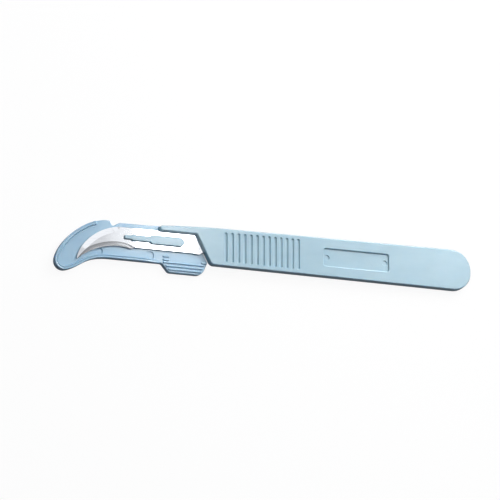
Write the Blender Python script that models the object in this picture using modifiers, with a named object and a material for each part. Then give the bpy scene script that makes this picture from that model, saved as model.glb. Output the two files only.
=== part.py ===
"""Disposable scalpel with a hook-shaped blade, lying on its back.

Units are metres. X runs along the handle and the blade points to -X. Y runs across it, with the
blade's back on the +Y side. Z is up. The origin is the middle of the grip's back face.
Run with: blender --background --python part.py
"""
import math

import bmesh
import bpy
from mathutils import Vector
from mathutils.geometry import interpolate_bezier

MM = 0.001

# Grip of the handle
GRIP_LENGTH = 92.0 * MM
GRIP_FRONT_WIDTH = 12.7 * MM
GRIP_BACK_WIDTH = 13.8 * MM
HANDLE_THICK = 3.0 * MM
EDGE_ROUND = 0.55 * MM
BUTT_TOP_ROUND = 7.0 * MM
BUTT_LOW_ROUND = 5.9 * MM

# Slanted front of the grip, where the blade ends
SHOULDER_LEAN = math.radians(26.8)
SHOULDER_ROUND = 2.0 * MM

# Finger of the handle along the blade's back
FINGER_REACH = 18.3 * MM
FINGER_LAP = 0.16 * MM
FINGER_INNER_ROUND = 0.5 * MM
NOSE_ROUND = 0.8 * MM
SPINE_DROOP = 0.88 * MM
SPINE_STRAIGHT_FROM = 7.0 * MM

# Grip grooves, on both faces
GROOVE_COUNT = 13
GROOVE_START = 5.0 * MM
GROOVE_PITCH = 2.25 * MM
GROOVE_PITCH_LOSS = 0.021 * MM
GROOVE_WIDTH = 1.0 * MM
GROOVE_DEPTH = 0.6 * MM
GROOVE_MARGIN = 1.3 * MM

# Recessed bare panel with two round ejector marks
PANEL_START = 40.3 * MM
PANEL_LENGTH = 22.5 * MM
PANEL_WIDTH = 6.0 * MM
PANEL_DEPTH = 0.65 * MM
PANEL_ROUND = 0.8 * MM
PANEL_SOFTENING = 0.3 * MM
PANEL_MARK_RADIUS = 0.85 * MM
PANEL_MARK_INSET = 1.3 * MM
PANEL_MARK_DEPTH = 0.3 * MM

# Blade: shank, hook and ground faces
BLADE_THICK = 0.4 * MM
BLADE_SINK = 1.45 * MM
BLADE_BACK = 3.88 * MM
SHANK_WIDTH = 6.63 * MM
HOOK_ROOT = 31.8 * MM
HOOK_REACH = 15.3 * MM
HOOK_DROP = 12.44 * MM
HOOK_FULLNESS = 1.7
EDGE_BEVEL = 1.4 * MM
EDGE_HALF_THICK = 0.012 * MM
HOLLOW_GRIND = 1.7
BACK_FACET = 1.9 * MM
BACK_HALF_THICK = 0.1 * MM
LAND = 0.15 * MM
EDGE_HEEL = 28.1 * MM
EDGE_HEEL_DROP = 0.57 * MM
EDGE_END = 26.6 * MM
HOOK_STATIONS = 22

# Rear end of the blade
HEEL_START = 6.2 * MM
HEEL_LOW = 4.6 * MM
HEEL_DROP = 0.35 * MM
HEEL_LENGTH = 0.7 * MM
HEEL_CHAMFER = 1.36 * MM
BLADE_TUCK = 0.4 * MM

# Stepped slot in the blade and the boss that fills it
SLOT_MIDDLE_DROP = 3.44 * MM
SLOT_FRONT = 30.45 * MM
SLOT_STEP_ONE = 28.0 * MM
SLOT_STEP_TWO = 21.4 * MM
SLOT_REAR = 9.5 * MM
SLOT_NARROW = 1.14 * MM
SLOT_MIDDLE = 1.9 * MM
SLOT_WIDE = 3.0 * MM
SLOT_FRONT_ROUND = 0.25 * MM
SLOT_REAR_ROUND = 1.6 * MM
SLOT_REAR_CHAMFER = 1.0 * MM
BOSS_RISE = 0.85 * MM
BOSS_EDGE = 0.12 * MM

# Tang of the handle under the blade
TANG_LEAD = 1.2 * MM
TANG_INSET = 0.4 * MM
TANG_ROUND = 1.5 * MM

# Blade guard: tray, lip and notch
GUARD_THICK = 1.9 * MM
GUARD_EDGE = 0.25 * MM
STRIP_STAND = 0.53 * MM
STRIP_FRONT_RISE = 1.37 * MM
STRIP_REAR_RISE = 1.74 * MM
BED_RISE = 1.12 * MM
TRAY_RISE = 2.09 * MM
TRAY_LEAD = 7.65 * MM
TRAY_DEPTH = 0.8 * MM
TRAY_FULLNESS = 1.62
TRAY_TIP_RADIUS = 3.13 * MM
TIP_STRAIGHT = 3.2 * MM
NOTCH_BACK = 0.1 * MM
NOTCH_WIDTH = 3.7 * MM
NOTCH_FLOOR_RISE = 0.12 * MM
LIP_WIDTH = 1.1 * MM
LIP_HEIGHT = 0.65 * MM
LIP_EDGE = 0.38 * MM
LIP_START = 4.2 * MM
LIP_END = 14.5 * MM
PARTING_STEP = 0.04 * MM

# Thumb tab of the guard
TAB_FRONT = 16.95 * MM
TAB_SLANT = 2.45 * MM
TAB_DEPTH = 3.15 * MM
TAB_END = 2.75 * MM
TAB_END_ROUND = 3.2 * MM
TAB_NOSE_ROUND = 1.5 * MM
TAB_TOUCH = 1.63 * MM
TAB_TOUCH_ROUND = 0.5 * MM
RIB_COUNT = 3
RIB_PITCH = 1.15 * MM
RIB_WIDTH = 0.55 * MM
RIB_HEIGHT = 0.45 * MM
RIB_EDGE = 0.15 * MM
RIB_MARGIN = 1.0 * MM
BAR_LENGTH = 2.3 * MM
BAR_SPACING = 1.15 * MM
PAD_LENGTH = 1.9 * MM
PAD_WIDTH = 0.75 * MM
PAD_RISE = 1.28 * MM

# Round ejector marks in the guard
MARK_DEPTH = 0.35 * MM
TRAY_MARK_RADIUS = 1.1 * MM
TRAY_MARK_AHEAD = 38.7 * MM
STRIP_MARK_RADIUS = 1.3 * MM
STRIP_MARK_AHEAD = 21.0 * MM
MARK_DROP = 1.85 * MM

# Clearances between the pieces
SEAT_GAP = 0.3 * MM
SLOT_GAP = 0.15 * MM
POCKET_GAP = 0.2 * MM
OVERRUN = 1.0 * MM
SINK = 0.3 * MM

# Places that follow from the sizes
SHOULDER_X = -GRIP_LENGTH / 2
BUTT_X = GRIP_LENGTH / 2
BLADE_TOP_Z = HANDLE_THICK - BLADE_SINK
BLADE_LOW_Z = BLADE_TOP_Z - BLADE_THICK
TANG_TOP_Z = BLADE_LOW_Z - SEAT_GAP
GUARD_LOW_Z = TANG_TOP_Z - GUARD_THICK
SHANK_LOW = BLADE_BACK - SHANK_WIDTH
SLOT_Y = BLADE_BACK - SLOT_MIDDLE_DROP
FINGER_LOW = BLADE_BACK - FINGER_LAP
NOSE_X = SHOULDER_X - FINGER_REACH
HOOK_X = SHOULDER_X - HOOK_ROOT
TIP = Vector((HOOK_X - HOOK_REACH, BLADE_BACK - HOOK_DROP))
EDGE_HEEL_POINT = Vector((SHOULDER_X - EDGE_HEEL, SHANK_LOW - EDGE_HEEL_DROP))
STRIP_LOW_Y = -GRIP_FRONT_WIDTH / 2 - STRIP_STAND
TAB_LOW_Y = STRIP_LOW_Y - TAB_DEPTH
BED_TOP = BLADE_BACK + BED_RISE
TRAY_TOP = BLADE_BACK + TRAY_RISE


# Outline helpers: every outline is a list of (x, y) points, counter-clockwise

def fillet(before, corner, after, radius, steps):
    """Points of the round that replaces one corner."""
    back = (before - corner).normalized()
    ahead = (after - corner).normalized()
    half = back.angle(ahead) / 2
    room = min((before - corner).length, (after - corner).length) * 0.98
    radius = min(radius, room * math.tan(half))
    centre = corner + (back + ahead).normalized() * radius / math.sin(half)
    start = corner + back * radius / math.tan(half) - centre
    end = corner + ahead * radius / math.tan(half) - centre
    sweep = start.angle_signed(end)
    return [centre + rotated(start, -sweep * step / steps) for step in range(steps + 1)]


def rotated(vector, angle):
    cos, sin = math.cos(angle), math.sin(angle)
    return Vector((vector.x * cos - vector.y * sin, vector.x * sin + vector.y * cos))


def rounded(corners, steps=8):
    """Outline from (x, y, radius) corners, with each corner rounded by its radius."""
    spots = [Vector(corner[:2]) for corner in corners]
    points = []
    for index, (_, _, radius) in enumerate(corners):
        before, after = spots[index - 1], spots[(index + 1) % len(spots)]
        if radius > 0:
            points += fillet(before, spots[index], after, radius, steps)
        else:
            points.append(spots[index])
    return points


def edge_normal(start, end):
    """Unit vector to the right of the way from start to end."""
    along = (end - start).normalized()
    return Vector((along.y, -along.x))


def offset_point(before, point, after, distance):
    first, second = edge_normal(before, point), edge_normal(point, after)
    return point + (first + second) * distance / (1 + first.dot(second))


def offset_outline(points, distance):
    """Closed outline moved outwards by a distance."""
    points = distinct([Vector(point) for point in points])
    count = len(points)
    return [offset_point(points[i - 1], points[i], points[(i + 1) % count], distance)
            for i in range(count)]


def distinct(points):
    return [p for i, p in enumerate(points) if (p - points[i - 1]).length > 0.01 * MM]


def offset_path(points, distance):
    """Open path moved to its left by a distance."""
    points = [Vector(point) for point in points]
    moved = [points[0] - edge_normal(points[0], points[1]) * distance]
    for before, point, after in zip(points, points[1:], points[2:]):
        moved.append(offset_point(before, point, after, -distance))
    moved.append(points[-1] - edge_normal(points[-2], points[-1]) * distance)
    return moved


def half_circle(centre, start, steps=8):
    """Points half a turn round centre, counter-clockwise from centre + start."""
    return [centre + rotated(start, math.pi * step / steps) for step in range(1, steps)]


def band(path, width):
    """Outline of a strip of even width along a path, with round ends."""
    path = [Vector(point) for point in path]
    right = offset_path(path, -width / 2)
    left = offset_path(path, width / 2)
    left.reverse()
    return (right + half_circle(path[-1], right[-1] - path[-1])
            + left + half_circle(path[0], left[-1] - path[0]))


def disc(x, y, radius, steps=32):
    return [Vector((x + radius * math.cos(math.tau * i / steps),
                    y + radius * math.sin(math.tau * i / steps))) for i in range(steps)]


def quarter_bow(start, end, fullness, steps):
    """Quarter of a super-ellipse that leaves start along -X and reaches end along -Y."""
    points = []
    for step in range(steps + 1):
        angle = math.pi / 2 * step / steps
        reach = math.sin(angle) ** (2 / fullness)
        drop = 1 - math.cos(angle) ** (2 / fullness) if step < steps else 1.0
        points.append(Vector((start[0] + (end[0] - start[0]) * reach,
                              start[1] + (end[1] - start[1]) * drop)))
    return points


# Object helpers

def material(name, colour, roughness, metallic=0.0):
    finish = bpy.data.materials.new(name)
    finish.use_nodes = True
    shader = finish.node_tree.nodes["Principled BSDF"]
    shader.inputs["Base Color"].default_value = (*colour, 1.0)
    shader.inputs["Roughness"].default_value = roughness
    shader.inputs["Metallic"].default_value = metallic
    finish.diffuse_color = (*colour, 1.0)
    return finish


def add_mesh(name, shape, collection, finish=None):
    """Object from a bmesh, linked to a collection."""
    mesh = bpy.data.meshes.new(name)
    shape.to_mesh(mesh)
    shape.free()
    item = bpy.data.objects.new(name, mesh)
    collection.objects.link(item)
    if finish:
        mesh.materials.append(finish)
    return item


def plate(name, outlines, low, high, collection, finish=None):
    """Flat solid between two heights: a filled 2D curve, turned into a welded mesh."""
    curve = bpy.data.curves.new(name, "CURVE")
    curve.dimensions = "2D"
    curve.fill_mode = "BOTH"
    curve.extrude = (high - low) / 2
    for outline in outlines:
        outline = distinct([Vector(point) for point in outline])
        spline = curve.splines.new("POLY")
        spline.points.add(len(outline) - 1)
        spline.use_cyclic_u = True
        for point, spot in zip(spline.points, outline):
            point.co = (spot.x, spot.y, 0.0, 1.0)
    guide = bpy.data.objects.new(name + "_outline", curve)
    guide.location.z = (low + high) / 2
    collection.objects.link(guide)
    bpy.context.view_layer.update()
    view = bpy.context.evaluated_depsgraph_get()
    mesh = bpy.data.meshes.new_from_object(guide.evaluated_get(view))
    shape = bmesh.new()
    shape.from_mesh(mesh)
    shape.transform(guide.matrix_world)
    bmesh.ops.remove_doubles(shape, verts=shape.verts, dist=0.001 * MM)
    for side in (1, -1):
        flat = [face for face in shape.faces if face.normal.z * side > 0.9]
        bmesh.ops.dissolve_faces(shape, faces=flat)
    bmesh.ops.recalc_face_normals(shape, faces=shape.faces)
    bpy.data.objects.remove(guide)
    bpy.data.curves.remove(curve)
    bpy.data.meshes.remove(mesh)
    return add_mesh(name, shape, collection, finish)


def round_edges(item, width, segments=3):
    bevel = item.modifiers.new("Edge rounding", "BEVEL")
    bevel.width = width
    bevel.segments = segments
    bevel.limit_method = "ANGLE"
    bevel.angle_limit = math.radians(50)
    bevel.use_clamp_overlap = False
    return item


def round_top(item, width, segments=3):
    """Rounds only the edges round a plate's top face."""
    mesh = item.data
    high = max(vertex.co.z for vertex in mesh.vertices)
    weights = mesh.attributes.new("bevel_weight_edge", "FLOAT", "EDGE")
    for edge, weight in zip(mesh.edges, weights.data):
        heights = [mesh.vertices[index].co.z for index in edge.vertices]
        weight.value = 1.0 if min(heights) > high - 0.01 * MM else 0.0
    bevel = round_edges(item, width, segments).modifiers["Edge rounding"]
    bevel.limit_method = "WEIGHT"
    return item


def flare(item, width):
    """Turns a flat cutter into one whose lower face is sunk by width and whose top spreads."""
    low = min(vertex.co.z for vertex in item.data.vertices)
    shape = bmesh.new()
    shape.from_mesh(item.data)
    bottom = [vertex for vertex in shape.verts if vertex.co.z - low < 0.1 * width]
    top = [vertex for vertex in shape.verts if vertex not in bottom]
    for vertex in bottom:
        vertex.co.z -= width
    spread = [(vertex, side_normal(vertex) * width * 2) for vertex in top]
    for vertex, shift in spread:
        vertex.co += shift
        vertex.co.z = low + width
    shape.to_mesh(item.data)
    shape.free()
    return item


def side_normal(vertex):
    """Outward direction across the side faces that meet at a vertex, mitred."""
    sides = [face.normal for face in vertex.link_faces if abs(face.normal.z) < 0.1]
    total = sum(sides, Vector((0.0, 0.0, 0.0)))
    return total / (1 + sides[0].dot(sides[-1]))


def combine(item, other, operation):
    """Cut or join one object with another, which stays in the file as a guide."""
    step = item.modifiers.new(other.name, "BOOLEAN")
    step.operation = operation
    step.solver = "EXACT"
    step.object = other
    other.hide_render = True
    other.display_type = "WIRE"
    return item


# Shared outlines

def grip_half_width(x):
    share = (x - SHOULDER_X) / GRIP_LENGTH
    return (GRIP_FRONT_WIDTH + (GRIP_BACK_WIDTH - GRIP_FRONT_WIDTH) * share) / 2


def spine_y(x):
    """Upper edge of the handle, which droops gently towards the finger's nose."""
    straight_x = SHOULDER_X + SPINE_STRAIGHT_FROM
    share = max(0.0, (straight_x - x) / (straight_x - NOSE_X))
    return grip_half_width(x) - SPINE_DROOP * share ** 2


def shoulder_x(y, setback=0.0):
    """Front wall of the grip at a height across the handle, or a line parallel to it."""
    lean = (y + GRIP_FRONT_WIDTH / 2) * math.tan(SHOULDER_LEAN)
    return SHOULDER_X - lean - setback / math.cos(SHOULDER_LEAN)


def handle_outline():
    spine_steps = 8
    straight_x = SHOULDER_X + SPINE_STRAIGHT_FROM
    spine = [straight_x + (NOSE_X - straight_x) * i / spine_steps for i in range(spine_steps)]
    corners = [(SHOULDER_X, -GRIP_FRONT_WIDTH / 2, SHOULDER_ROUND),
               (BUTT_X, -GRIP_BACK_WIDTH / 2, BUTT_LOW_ROUND),
               (BUTT_X, GRIP_BACK_WIDTH / 2, BUTT_TOP_ROUND)]
    corners += [(x, spine_y(x), 0.0) for x in spine]
    nose_round = min(NOSE_ROUND, (spine_y(NOSE_X) - FINGER_LOW) * 0.49)
    corners += [(NOSE_X, spine_y(NOSE_X), nose_round),
                (NOSE_X, FINGER_LOW, nose_round),
                (shoulder_x(FINGER_LOW), FINGER_LOW, FINGER_INNER_ROUND)]
    return rounded(corners)


def tang_outline():
    tip_x = SHOULDER_X - SLOT_FRONT - TANG_LEAD
    low, high = SHANK_LOW + TANG_INSET, BLADE_BACK - TANG_INSET
    under_finger_x = NOSE_X + NOSE_ROUND + OVERRUN / 2
    under_finger_y = FINGER_LOW + NOSE_ROUND
    inside_x = SHOULDER_X + OVERRUN
    return rounded([(tip_x, low, TANG_ROUND), (inside_x, low, 0.0),
                    (inside_x, under_finger_y, 0.0), (under_finger_x, under_finger_y, 0.0),
                    (under_finger_x, high, 0.0), (tip_x, high, TANG_ROUND)])


def slot_outline():
    front_x, rear_x = SHOULDER_X - SLOT_FRONT, SHOULDER_X - SLOT_REAR
    step_one, step_two = SHOULDER_X - SLOT_STEP_ONE, SHOULDER_X - SLOT_STEP_TWO
    narrow, middle, wide = SLOT_NARROW / 2, SLOT_MIDDLE / 2, SLOT_WIDE / 2
    lower = [(front_x, -narrow, SLOT_FRONT_ROUND), (step_one, -narrow, 0.0),
             (step_one + middle - narrow, -middle, 0.0), (step_two, -middle, 0.0),
             (step_two + wide - middle, -wide, 0.0)]
    upper = [(x, -y, radius) for x, y, radius in reversed(lower)]
    rear = [(rear_x - SLOT_REAR_CHAMFER, -wide, 0.0), (rear_x, SLOT_REAR_CHAMFER - wide, 0.0),
            (rear_x, wide, SLOT_REAR_ROUND)]
    return rounded([(x, y + SLOT_Y, radius) for x, y, radius in lower + rear + upper])


def heel_corners():
    """Lower rear corner of the blade: a small drop, then a cut that runs into the handle."""
    start_x, low_x = SHOULDER_X - HEEL_START, SHOULDER_X - HEEL_LOW
    low_y = SHANK_LOW - HEEL_DROP
    rise = HEEL_CHAMFER
    end_y = low_y + rise
    return [Vector((start_x, SHANK_LOW)), Vector((low_x, low_y)),
            Vector((low_x + HEEL_LENGTH, low_y)), Vector((shoulder_x(end_y, -BLADE_TUCK), end_y))]


def shank_outline():
    """Plan of the blade behind its hook."""
    heel = heel_corners()
    return ([Vector((HOOK_X, SHANK_LOW))] + heel
            + [Vector((shoulder_x(BLADE_BACK, -BLADE_TUCK), BLADE_BACK)), Vector((HOOK_X, BLADE_BACK))])


# The handle, one moulding

def grooves(collection):
    """Cutter for the row of grip grooves: U-shaped channels with round ends."""
    runs = []
    for index in range(GROOVE_COUNT):
        x = (SHOULDER_X + GROOVE_START + index * GROOVE_PITCH
             - GROOVE_PITCH_LOSS * index * (index - 1) / 2)
        end = grip_half_width(x) - GROOVE_MARGIN - GROOVE_WIDTH / 2
        runs.append(band([(x, -end), (x, end)], GROOVE_WIDTH))
    front = plate("groove_cutter_face", runs, HANDLE_THICK - GROOVE_DEPTH,
                  HANDLE_THICK + OVERRUN, collection)
    back = plate("groove_cutter_back", runs, -OVERRUN, GROOVE_DEPTH, collection)
    for cutter in (front, back):
        round_edges(cutter, GROOVE_WIDTH * 0.4)
    return front, back


def panel_cutters(collection):
    """Cutters for the recessed panel and for the two marks in its floor."""
    left = SHOULDER_X + PANEL_START
    right, half = left + PANEL_LENGTH, PANEL_WIDTH / 2
    floor = HANDLE_THICK - PANEL_DEPTH
    outline = rounded([(left, -half, PANEL_ROUND), (right, -half, PANEL_ROUND),
                       (right, half, PANEL_ROUND), (left, half, PANEL_ROUND)])
    panel = plate("panel_cutter", [outline], floor, HANDLE_THICK + OVERRUN, collection)
    soft = plate("panel_soft_cutter", [outline], HANDLE_THICK, HANDLE_THICK + OVERRUN, collection)
    flare(soft, PANEL_SOFTENING)
    spots = [disc(left + PANEL_MARK_INSET, 0.0, PANEL_MARK_RADIUS),
             disc(right - PANEL_MARK_INSET, 0.0, PANEL_MARK_RADIUS)]
    marks = plate("panel_mark_cutter", spots, floor - PANEL_MARK_DEPTH,
                  HANDLE_THICK + OVERRUN, collection)
    return panel, soft, marks


def make_handle(parts, tools):
    plastic = material("handle_plastic", (0.50, 0.68, 0.78), 0.35)
    handle = plate("handle", [handle_outline()], 0.0, HANDLE_THICK, parts, plastic)
    round_edges(handle, EDGE_ROUND)
    pocket = plate("blade_pocket", [offset_outline(shank_outline(), POCKET_GAP)],
                   TANG_TOP_Z, BLADE_TOP_Z + POCKET_GAP, tools)
    combine(handle, pocket, "DIFFERENCE")
    combine(handle, plate("tang", [tang_outline()], 0.0, TANG_TOP_Z, tools), "UNION")
    boss = plate("boss", [slot_outline()], TANG_TOP_Z - SINK, BLADE_TOP_Z + BOSS_RISE, tools)
    combine(handle, round_edges(boss, BOSS_EDGE, 2), "UNION")
    for cutter in (*grooves(tools), *panel_cutters(tools)):
        combine(handle, cutter, "DIFFERENCE")
    return handle


# The blade, one strip of steel

def hook_back():
    """Blade's back from the tip to the root of the hook."""
    points = quarter_bow((HOOK_X, BLADE_BACK), TIP, HOOK_FULLNESS, HOOK_STATIONS)
    points.reverse()
    return points


def hook_edge():
    """Cutting edge from the tip to its heel, hollow like the inside of a hook."""
    leave = TIP + Vector((HOOK_REACH * 0.273, HOOK_DROP * 0.318))
    arrive = EDGE_HEEL_POINT + Vector((-HOOK_REACH * 0.442, HOOK_DROP * 0.166))
    knots = [point.to_3d() for point in (TIP, leave, arrive, EDGE_HEEL_POINT)]
    return [point.to_2d() for point in interpolate_bezier(*knots, HOOK_STATIONS + 1)]


def section(back, edge, facet, bevel, back_half, edge_half):
    """Points round the blade between its back and its edge, with a hollow-ground bevel."""
    across = edge - back
    room = across.length
    squeeze = min(1.0, (room - LAND) / (facet + bevel)) if facet + bevel > 0 else 1.0
    facet_spot = back + across.normalized() * max(facet * squeeze, LAND / 2)
    bevel_spot = edge - across.normalized() * max(bevel * squeeze, LAND / 2)
    middle = BLADE_TOP_Z - BLADE_THICK / 2
    half = BLADE_THICK / 2
    ring = [(back, back_half), (facet_spot, half), (bevel_spot, half)]
    for share in (0.25, 0.55):
        height = edge_half + (half - edge_half) * (1 - share) ** HOLLOW_GRIND
        ring.append((bevel_spot.lerp(edge, share), height))
    ring.append((edge, edge_half))
    upper = [(spot.x, spot.y, middle + height) for spot, height in ring]
    lower = [(spot.x, spot.y, middle - height) for spot, height in reversed(ring)]
    return upper + lower


def blade_sections():
    """Sections from the tip to the rear end of the blade."""
    backs, edges = hook_back(), hook_edge()
    fade_from = 0.86
    sections = []
    for index in range(1, HOOK_STATIONS + 1):
        share = index / HOOK_STATIONS
        fade = max(0.0, (share - fade_from) / (1 - fade_from))
        back_half = BACK_HALF_THICK + ((BLADE_THICK - LAND) / 2 - BACK_HALF_THICK) * fade
        sections.append(section(backs[index], edges[index], BACK_FACET * (1 - fade),
                                EDGE_BEVEL, back_half, EDGE_HALF_THICK))
    heel = heel_corners()
    plain_half = (BLADE_THICK - LAND) / 2
    rear_top = shoulder_x(BLADE_BACK, -BLADE_TUCK)
    edge_end = Vector((SHOULDER_X - EDGE_END, SHANK_LOW))
    pairs = [(Vector((edge_end.x, BLADE_BACK)), edge_end)]
    for spot in heel:
        back_x = min(spot.x - (BLADE_BACK - spot.y) * math.tan(SHOULDER_LEAN), rear_top)
        pairs.append((Vector((back_x, BLADE_BACK)), spot))
    sections += [section(back, edge, 0.0, 0.0, plain_half, plain_half) for back, edge in pairs]
    return sections


def make_blade(parts, tools):
    steel = material("blade_steel", (0.80, 0.81, 0.83), 0.22, 1.0)
    shape = bmesh.new()
    middle = BLADE_TOP_Z - BLADE_THICK / 2
    point = shape.verts.new((TIP.x, TIP.y, middle))
    rings = [[shape.verts.new(spot) for spot in ring] for ring in blade_sections()]
    around = len(rings[0])
    for i in range(around):
        shape.faces.new((point, rings[0][i], rings[0][(i + 1) % around]))
    for near, far in zip(rings, rings[1:]):
        for i in range(around):
            follow = (i + 1) % around
            shape.faces.new((near[i], far[i], far[follow], near[follow]))
    shape.faces.new(rings[-1])
    bmesh.ops.recalc_face_normals(shape, faces=shape.faces)
    blade = add_mesh("blade", shape, parts, steel)
    slot = plate("slot_cutter", [offset_outline(slot_outline(), SLOT_GAP)],
                 BLADE_LOW_Z - OVERRUN, BLADE_TOP_Z + OVERRUN, tools)
    return combine(blade, slot, "DIFFERENCE")


# The blade guard, one moulding

def tray_run():
    """Outer edge of the tray from the notch, round the tip, to the straight lower strip."""
    tip_centre = TIP + Vector((TRAY_TIP_RADIUS - TRAY_LEAD, -TRAY_DEPTH))
    top_x = HOOK_X - NOTCH_WIDTH - NOTCH_BACK - LIP_START / 3
    points = quarter_bow((top_x, TRAY_TOP), (tip_centre.x - TRAY_TIP_RADIUS, tip_centre.y),
                         TRAY_FULLNESS, 20)
    turn = math.radians(113)
    steps = 10
    points += [tip_centre + rotated(Vector((-TRAY_TIP_RADIUS, 0.0)), turn * i / steps)
               for i in range(1, steps + 1)]
    start = points[-1]
    end = Vector((HOOK_X - TIP_STRAIGHT, STRIP_LOW_Y))
    along = rotated(Vector((1.0, 0.0)), math.radians(23))
    knots = [start, start + along * (end.x - start.x) * 0.3,
             Vector((start.x + (end.x - start.x) * 0.56, STRIP_LOW_Y)), end]
    return points + [p.to_2d() for p in interpolate_bezier(*[k.to_3d() for k in knots], 16)][1:]


def guard_outline():
    notch_x = HOOK_X - NOTCH_BACK
    tab_x = SHOULDER_X - TAB_FRONT
    back_gap = SEAT_GAP
    touch_y = STRIP_LOW_Y + TAB_TOUCH
    front_top = BLADE_BACK + STRIP_FRONT_RISE
    notch_floor = BLADE_BACK + NOTCH_FLOOR_RISE
    notch = rounded([(notch_x + OVERRUN, front_top, 0.0),
                     (notch_x, front_top, 1.2 * MM),
                     (notch_x - NOTCH_WIDTH * 0.69, notch_floor, 0.6 * MM),
                     (notch_x - NOTCH_WIDTH, TRAY_TOP, 0.5 * MM),
                     (notch_x - NOTCH_WIDTH - OVERRUN, TRAY_TOP, 0.0)])[1:-1]
    tab = rounded([(tab_x - OVERRUN * 2, STRIP_LOW_Y, 0.0),
                   (tab_x, STRIP_LOW_Y, TAB_NOSE_ROUND / 1.5),
                   (tab_x + TAB_SLANT, TAB_LOW_Y, TAB_NOSE_ROUND),
                   (SHOULDER_X - TAB_END, TAB_LOW_Y, TAB_END_ROUND),
                   (shoulder_x(touch_y, back_gap), touch_y, TAB_TOUCH_ROUND),
                   (shoulder_x(BED_TOP, back_gap), BED_TOP, 0.0)])[1:]
    nose_stop = NOSE_X - SEAT_GAP
    strip = [Vector((nose_stop + 2 * SEAT_GAP, BED_TOP)),
             Vector((nose_stop, BLADE_BACK + STRIP_REAR_RISE))]
    return notch + tray_run() + tab + strip


def lip_outline():
    """Raised lip on the tray's edge, with a square start by the notch and a round far end."""
    start_x = HOOK_X - NOTCH_WIDTH - NOTCH_BACK - LIP_START
    run = [spot for spot in tray_run() if spot.x < start_x or spot.y < 0.0]
    run[0] = run[0].lerp(run[1], 0.4)
    run.append(Vector((HOOK_X + LIP_END, STRIP_LOW_Y)))
    outer = offset_path(run, -PARTING_STEP)
    inner = offset_path(run, LIP_WIDTH)
    middle = (outer[-1] + inner[-1]) / 2
    inner.reverse()
    return outer + half_circle(middle, outer[-1] - middle) + inner


def tab_marks():
    """Ribs, two short bars and a small pad that stand out of the tab."""
    tab_x = SHOULDER_X - TAB_FRONT
    lean = TAB_SLANT / TAB_DEPTH
    outlines = []
    for index in range(RIB_COUNT):
        y = TAB_LOW_Y + RIB_MARGIN + index * RIB_PITCH
        start = tab_x + (STRIP_LOW_Y - y) * lean + RIB_MARGIN
        end = SHOULDER_X - TAB_END - RIB_MARGIN + (y - TAB_LOW_Y) * 0.55 * lean
        outlines.append(band([(start, y), (end, y)], RIB_WIDTH))
    top_rib_y = TAB_LOW_Y + RIB_MARGIN + (RIB_COUNT - 1) * RIB_PITCH
    for index in (1, 2):
        y = top_rib_y + index * BAR_SPACING - RIB_WIDTH / 2
        outlines.append(band([(tab_x + RIB_WIDTH, y), (tab_x + BAR_LENGTH, y)], RIB_WIDTH))
    pad_y = STRIP_LOW_Y + PAD_RISE
    pad_end = shoulder_x(pad_y, SEAT_GAP + PAD_WIDTH)
    outlines.append(band([(pad_end - PAD_LENGTH + PAD_WIDTH, pad_y), (pad_end, pad_y)], PAD_WIDTH))
    return outlines


def make_guard(parts, tools):
    plastic = material("guard_plastic", (0.46, 0.65, 0.77), 0.3)
    face = TANG_TOP_Z
    guard = plate("blade_guard", [guard_outline()], GUARD_LOW_Z, face, parts, plastic)
    round_edges(guard, GUARD_EDGE, 2)
    for name, outline in (("handle_channel", handle_outline()), ("tang_channel", tang_outline())):
        channel = plate(name, [offset_outline(outline, SEAT_GAP)], -SEAT_GAP,
                        HANDLE_THICK + OVERRUN, tools)
        combine(guard, channel, "DIFFERENCE")
    marks = [disc(SHOULDER_X - TRAY_MARK_AHEAD, SHANK_LOW - MARK_DROP, TRAY_MARK_RADIUS),
             disc(SHOULDER_X - STRIP_MARK_AHEAD, SHANK_LOW - MARK_DROP, STRIP_MARK_RADIUS)]
    combine(guard, plate("guard_mark_cutter", marks, face - MARK_DEPTH, face + OVERRUN, tools),
            "DIFFERENCE")
    lip = plate("lip", [lip_outline()], GUARD_LOW_Z + SINK, face + LIP_HEIGHT, tools)
    combine(guard, round_top(lip, LIP_EDGE), "UNION")
    ribs = plate("tab_marks", tab_marks(), face - SINK, face + RIB_HEIGHT, tools)
    return combine(guard, round_edges(ribs, RIB_EDGE, 2), "UNION")


def smooth(item):
    item.data.shade_smooth()
    item.data.set_sharp_from_angle(angle=math.radians(35))


def main():
    for old in list(bpy.data.objects):
        bpy.data.objects.remove(old)
    parts = bpy.data.collections.new("disposable_scalpel")
    tools = bpy.data.collections.new("cutters")
    for group in (parts, tools):
        bpy.context.scene.collection.children.link(group)
    for item in (make_handle(parts, tools), make_blade(parts, tools), make_guard(parts, tools)):
        smooth(item)


main()
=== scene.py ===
# %% [markdown]
# A disposable scalpel lies on a table: a flat moulded handle, a hook-shaped steel blade
# and a moulded guard that still covers the blade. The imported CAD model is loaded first.
# It is the fixed frame, in metres, so each new piece is made straight in its place and
# then stands for the plain CAD solid of the same part.

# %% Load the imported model
import math

import bmesh
import bpy
from mathutils import Matrix, Vector
from mathutils.geometry import interpolate_bezier


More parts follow.
